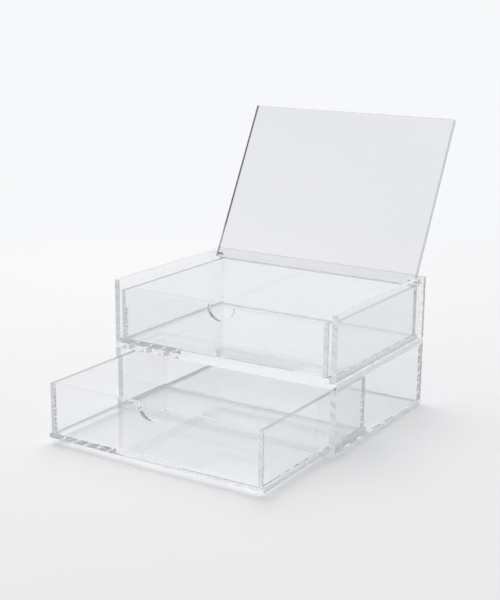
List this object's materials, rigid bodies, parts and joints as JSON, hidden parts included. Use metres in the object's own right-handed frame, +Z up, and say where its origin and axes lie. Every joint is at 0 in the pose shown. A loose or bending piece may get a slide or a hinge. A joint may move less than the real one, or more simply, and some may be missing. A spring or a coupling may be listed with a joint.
{
  "type": "acrylic drawer case",
  "caption": "Clear acrylic vanity case: stacked drawers with finger notches under a flip-up lid, shown with the lower drawer pulled out.",
  "frame": {"origin": "centre of the base plate's underside, the face the case stands on", "axes": "+Z up, +Y from the drawer fronts to the back, +X to the right as seen from the front, along the lid's hinge"},
  "size_m": [0.175, 0.2578, 0.2009],
  "materials": {
    "clear_acrylic": "clear cast acrylic sheet, polished faces, sawn and polished edges that look grey and white",
    "pin_steel": "plain drawn steel pin"
  },
  "bodies": {
    "case": {"base_plate": "clear_acrylic", "lower_left_side": "clear_acrylic", "lower_right_side": "clear_acrylic", "lower_back": "clear_acrylic", "shelf_plate": "clear_acrylic", "upper_left_side": "clear_acrylic", "upper_right_side": "clear_acrylic", "upper_back": "clear_acrylic", "left_hinge_pin": "pin_steel", "right_hinge_pin": "pin_steel"},
    "lid": {"lid": "clear_acrylic"},
    "lower_drawer": {"lower_drawer_floor": "clear_acrylic", "lower_drawer_left_wall": "clear_acrylic", "lower_drawer_right_wall": "clear_acrylic", "lower_drawer_back": "clear_acrylic", "lower_drawer_front": "clear_acrylic"},
    "upper_drawer": {"upper_drawer_floor": "clear_acrylic", "upper_drawer_left_wall": "clear_acrylic", "upper_drawer_right_wall": "clear_acrylic", "upper_drawer_back": "clear_acrylic", "upper_drawer_front": "clear_acrylic"}
  },
  "joints": [
    {"name": "lid_hinge", "type": "hinge", "parent": "case", "child": "lid", "pos_m": [0, 0.0571, 0.092], "axis": [-1, 0, 0], "range_deg": [-118.4, 0]},
    {"name": "lower_drawer_slide", "type": "slide", "parent": "case", "child": "lower_drawer", "axis": [0, -1, 0], "range_m": [-0.0775, 0.023]},
    {"name": "upper_drawer_slide", "type": "slide", "parent": "case", "child": "upper_drawer", "axis": [0, -1, 0], "range_m": [-0.001, 0.0995]}
  ]
}
